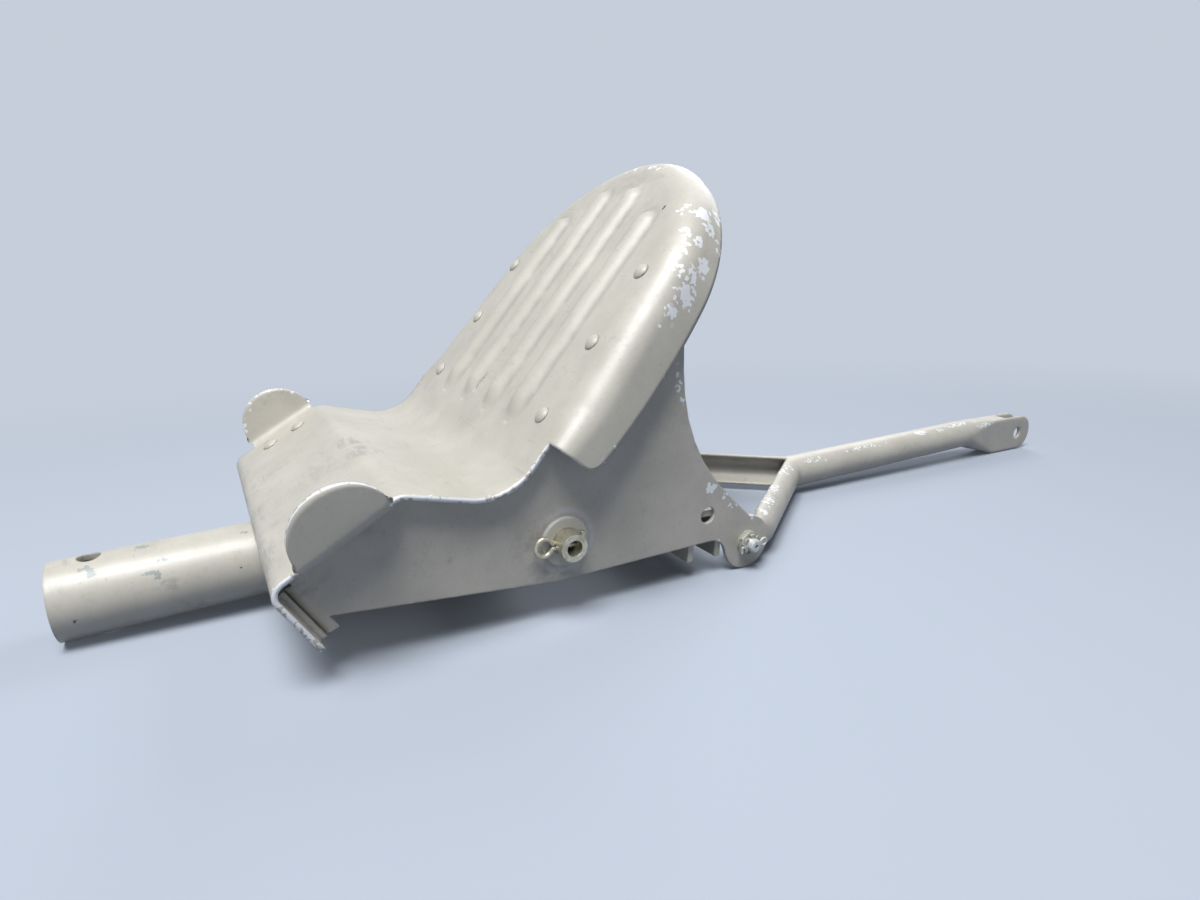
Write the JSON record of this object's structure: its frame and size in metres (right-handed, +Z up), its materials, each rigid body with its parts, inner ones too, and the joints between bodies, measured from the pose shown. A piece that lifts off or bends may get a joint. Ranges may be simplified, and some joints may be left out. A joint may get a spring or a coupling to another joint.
{
  "type": "toe-brake rudder pedal",
  "caption": "Formed sheet-metal rudder pedal with a beaded toe plate, hinged on an arm tube stub, with a Y-shaped brake link hinged behind it and a clevis at the link's end.",
  "frame": {"origin": "centre of the arm tube's open end", "axes": "+X from the heel to the clevis, +Y to the pedal's left, +Z up from the surface it lies on"},
  "size_m": [0.5359, 0.1466, 0.1574],
  "materials": {
    "enamel": "satin",
    "plated": "satin",
    "bronze": "satin"
  },
  "bodies": {
    "arm": {"arm_tube": "enamel", "arm_cross_tube": "enamel", "left_pivot_bush": "bronze", "right_pivot_bush": "bronze"},
    "pedal": {"pedal_plate": "enamel", "left_side_plate": "enamel", "right_side_plate": "enamel", "front_doubler": "enamel", "rear_tie": "enamel", "toe_rivets": "enamel", "heel_rivets": "enamel", "front_lip_rivets": "enamel", "pivot_pin": "plated", "pivot_washers": "plated", "pivot_cotter": "plated", "left_link_bolt": "plated", "right_link_bolt": "plated", "left_link_nut": "plated", "right_link_nut": "plated", "link_bolt_washers": "plated", "link_cotters": "plated", "link_bushes": "bronze"},
    "link": {"link_tube": "enamel", "left_link_leg": "enamel", "right_link_leg": "enamel"}
  },
  "joints": [
    {"name": "brake_pivot", "type": "hinge", "parent": "arm", "child": "pedal", "pos_m": [0.1449, 0, 0.0153], "axis": [0, 1, 0], "range_deg": [0, 20]},
    {"name": "link_pivot", "type": "hinge", "parent": "pedal", "child": "link", "pos_m": [0.2274, 0, -0.0016], "axis": [0, 1, 0], "range_deg": [-35, 20]}
  ]
}
